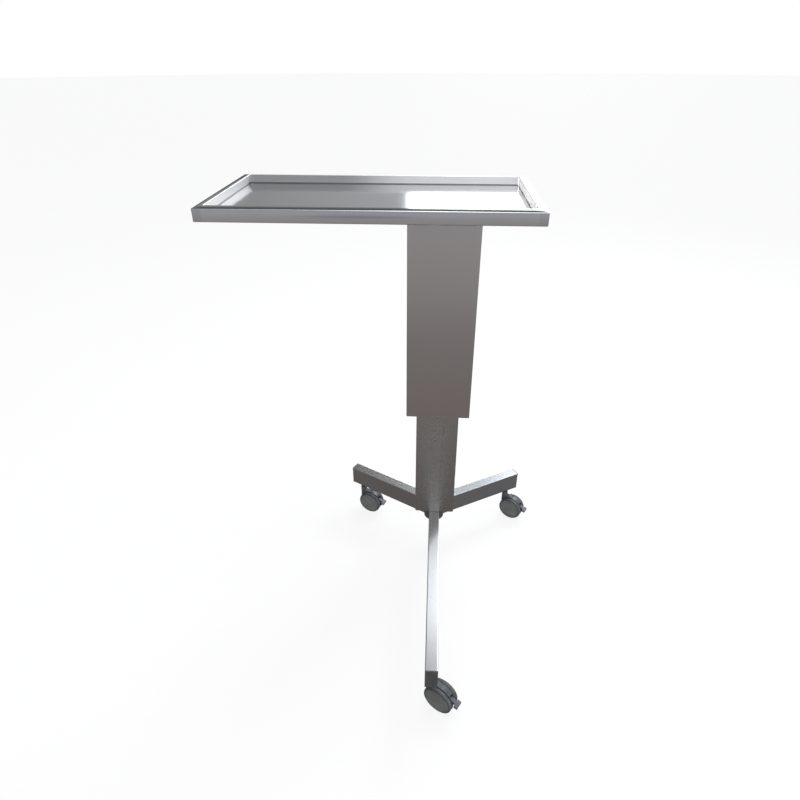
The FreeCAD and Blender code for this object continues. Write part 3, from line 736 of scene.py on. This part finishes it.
def build_wheel(caster, side, frame_matrix):
    disc_profile = rounded(DISC_OUTSIDE, steps=4) + DISC_INSIDE
    tyre_profile = rounded(TYRE, steps=5)
    if side == "right":
        disc_profile = [(radius, -y) for radius, y in disc_profile][::-1]
        tyre_profile = [(radius, -y) for radius, y in tyre_profile][::-1]
    disc = lathe(caster + "disc_" + side, disc_profile, steps=96, sharp_angle=40.0)
    tyre = lathe(caster + "tread_" + side, tyre_profile, steps=RIBS * RIB_STEPS,
                 sharp_angle=34.0, shape=ribbed)
    for obj, material, node in ((disc, "wheel_plastic", "wheel_"), (tyre, "tyre_rubber", "tyre_")):
        obj.matrix_world = frame_matrix
        stand_in(obj, material, body=caster + "wheel_" + side[0], node=caster + node + side)


def build_shell(node, body, material, voxel, passes, frame_matrix):
    """A CAD shape softened like a moulding."""
    bm = bmesh.new()
    bm.from_mesh(NODES[node].data)
    bmesh.ops.remove_doubles(bm, verts=bm.verts[:], dist=1e-6)
    bm.transform(frame_matrix.inverted())
    obj = to_object(bm, node + "_shell")
    soften(obj, voxel, passes)
    obj.matrix_world = frame_matrix
    stand_in(obj, material, body, node)


def build_caster(place):
    caster = "caster_%s_" % place
    low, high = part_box(caster + "stem")
    stem = Vector(((low.x + high.x) / 2, (low.y + high.y) / 2, 0))
    frame_matrix = (Matrix.Translation(stem)
                    @ Matrix.Rotation(math.radians(SWIVEL[place]), 4, "Z")
                    @ Matrix.Translation((WHEEL_OFFSET * MM, 0, WHEEL_RADIUS * MM)))
    for side in ("left", "right"):
        build_wheel(caster, side, frame_matrix)
    build_shell(caster + "hood", "caster_" + place, "hood_plastic",
                voxel=0.00055, passes=5, frame_matrix=frame_matrix)
    build_shell(caster + "brake_pedal", caster + "pedal", "pedal_plastic",
                voxel=0.0004, passes=3, frame_matrix=frame_matrix)


for place in PLACES:
    build_caster(place)


# ---------------------------------------------------------------------------
# stage, light and camera
# ---------------------------------------------------------------------------
def floor_material():
    """Pale and mostly self-lit; reflections see a darker floor."""
    g = Graph(bpy.data.materials.new("floor_pale"))
    position = g.position()
    tone = g.noise(position, scale=1.3, detail=3.0, rough=0.5)
    matt = g.add("ShaderNodeBsdfPrincipled", {
        "Base Color": g.mix(tone, (0.84, 0.84, 0.845), (0.90, 0.90, 0.90)), "Roughness": 0.7})
    glow = g.add("ShaderNodeEmission", {"Color": (1.0, 1.0, 1.0), "Strength": 1.0})
    glow_share = 0.86
    seen = g.mix_shader(glow_share, matt, glow)

    # reflected floor: painted shade, darker close to the cart, out to ramp_radius metres
    ramp_radius = 6.0
    ramp = g.add("ShaderNodeValToRGB",
                 {0: g.distance(position, centre=(0.1, 0.20, 0.0)) / ramp_radius})
    stops = ramp.socket.node.color_ramp.elements
    stops[0].color = (0.150, 0.142, 0.138, 1)
    stops[1].color = (0.46, 0.47, 0.50, 1)
    for place, colour in (
            (0.07, (0.165, 0.155, 0.150, 1)), (0.16, (0.250, 0.220, 0.208, 1)),
            (0.28, (0.262, 0.245, 0.243, 1)), (0.40, (0.385, 0.365, 0.36, 1))):
        stops.new(place).color = colour
    # a darker patch in front of the cart
    patch = g.distance(position, centre=(-0.72, -4.45, 0.0)).rise(
        start=0.25, end=1.05, before=0.60)
    quiet = g.add("ShaderNodeEmission", {"Color": g.vector_math("SCALE", ramp, scale=patch)})
    glossy = g.add("ShaderNodeLightPath", output="Is Glossy Ray")
    return g.output("ShaderNodeOutputMaterial", g.mix_shader(glossy, seen, quiet))


def build_floor():
    bm = bmesh.new()
    bmesh.ops.create_circle(bm, cap_ends=True, segments=96, radius=45.0)
    floor = to_object(bm, "floor")
    paint(floor, floor_material())


def studio_world():
    """Bright and dark zones around the cart; the camera itself sees white.

    Borders are in degrees: elevation, and azimuth from +Y (behind) towards +X (right).
    """
    world = bpy.data.worlds.new("studio")
    scene.world = world
    g = Graph(world)
    degrees = 57.2958       # in a radian
    x, y, z = g.xyz(g.add("ShaderNodeTexCoord", output="Generated"))
    height = g.math("ARCSINE", z) * degrees
    azimuth = g.math("ARCTAN2", x, y) * degrees
    back = azimuth.band(rise=(-75, -55), fall=(70, 90))
    wall = g.mix_value(azimuth.rise(start=-18, end=-3, smooth=False), 0.36, 0.50)
    window = g.mix_value(azimuth.rise(start=17, end=22), 4.5, 0.75)
    front = g.mix_value(x.rise(start=-0.30, end=0.05), 0.28, 2.3)

    def layered(strength, layers):
        for mask, value in layers:
            strength = g.mix_value(mask, strength, value)
        return strength

    # each layer is a mask and a strength
    ceiling = layered(0.30, (
        (azimuth.band(rise=(-4, -2), fall=(6, 9)), 6.4),
        (azimuth.band(rise=(6, 9), fall=(95, 120)), 0.8),
        (azimuth.band(rise=(-16, -8), fall=(16, 24)) * height.rise(start=50, end=54), 5.5),
        (height.rise(start=68, end=80), 0.6)))
    ambient = g.add("ShaderNodeValue")
    ambient.socket.default_value = 0.42
    strength = layered(ambient, (
        # behind the cart: dark above the wall, the wall, dark at its foot
        (azimuth.band(rise=(-75, -55), fall=(12, 17))
         * height.band(rise=(23, 29), fall=(43, 46)), 0.13),
        (back * height.band(rise=(5.5, 8), fall=(23, 27)), wall),
        (back * height.fall(start=3, end=6), 0.06),
        # the bright window behind and to the right, and the zone above it
        (azimuth.band(rise=(-3.1, -2.3), fall=(95, 110))
         * height.band(rise=(1.5, 4), fall=(25, 29)), window),
        (azimuth.band(rise=(13, 18), fall=(95, 110)) * height.rise(start=23, end=27), 0.75),
        # in front of the cart
        (y.rise(start=-0.15, end=-0.35) * height.band(rise=(2, 6), fall=(22, 34)), front),
        (height.rise(start=47.0, end=50.5), ceiling)))
    warm_to_cool = g.mix(height.rise(start=-5, end=15), (1.0, 0.985, 0.965), (0.955, 0.98, 1.0))
    room = g.add("ShaderNodeBackground", {"Color": warm_to_cool, "Strength": strength})
    white = g.add("ShaderNodeBackground", {"Color": (1.0, 1.0, 1.0), "Strength": 1.0})
    camera_ray = g.add("ShaderNodeLightPath", output="Is Camera Ray")
    g.output("ShaderNodeOutputWorld", g.mix_shader(camera_ray, room, white))


def area_light(name, location, aim, size, power, colour, spread=None):
    """Rectangular light; size in metres, power in watts, spread in degrees."""
    data = bpy.data.lights.new(name, "AREA")
    data.shape = "RECTANGLE"
    data.size, data.size_y = size
    data.energy = power
    data.color = colour
    if spread is not None:
        data.spread = math.radians(spread)
    light = bpy.data.objects.new(name, data)
    scene.collection.objects.link(light)
    light.location = location
    light.rotation_mode = "QUATERNION"
    light.rotation_quaternion = (Vector(aim) - Vector(location)).to_track_quat("-Z", "Y")


def build_camera():
    data = bpy.data.cameras.new("photo_view")
    camera = bpy.data.objects.new("photo_view", data)
    scene.collection.objects.link(camera)
    scene.camera = camera
    data.sensor_width = 36.0
    data.lens = 25.82262
    data.clip_start, data.clip_end = 0.05, 200.0
    pitch = math.radians(31.3631)       # below level
    roll = math.radians(0.191)
    heading = math.radians(-3.5998)     # from +Y towards +X
    forward = Vector((math.sin(heading) * math.cos(pitch),
                      math.cos(heading) * math.cos(pitch), -math.sin(pitch)))
    level = Vector((math.cos(heading), -math.sin(heading), 0.0))
    down = forward.cross(level)
    right = level * math.cos(roll) + down * math.sin(roll)
    up = -(down * math.cos(roll) - level * math.sin(roll))
    rotation = Matrix((right, up, -forward)).transposed().to_4x4()
    camera.matrix_world = Matrix.Translation((0.085808, -1.170446, 1.359440)) @ rotation


build_floor()
studio_world()
area_light("overhead", location=(0.2, 0.2, 3.4), aim=(0.1, 0.1, 0.5), size=(2.6, 2.2),
           power=42, colour=(1.0, 0.99, 0.98))
area_light("window_high", location=(1.7, 2.3, 2.7), aim=(0.1, 0.0, 0.3), size=(1.2, 0.9),
           power=56, colour=(0.94, 0.97, 1.0))
area_light("front_fill", location=(-2.2, -2.6, 2.2), aim=(0.1, 0.0, 0.5), size=(2.0, 1.6),
           power=7, colour=(1.0, 0.98, 0.96))
area_light("tray_end_light", location=(-0.95, -0.30, 1.75), aim=(0.312, 0.20, 1.072),
           size=(0.35, 0.35), power=3, colour=(1.0, 0.99, 0.98), spread=16)
build_camera()
scene.view_settings.view_transform = "Standard"
scene.view_settings.look = "None"
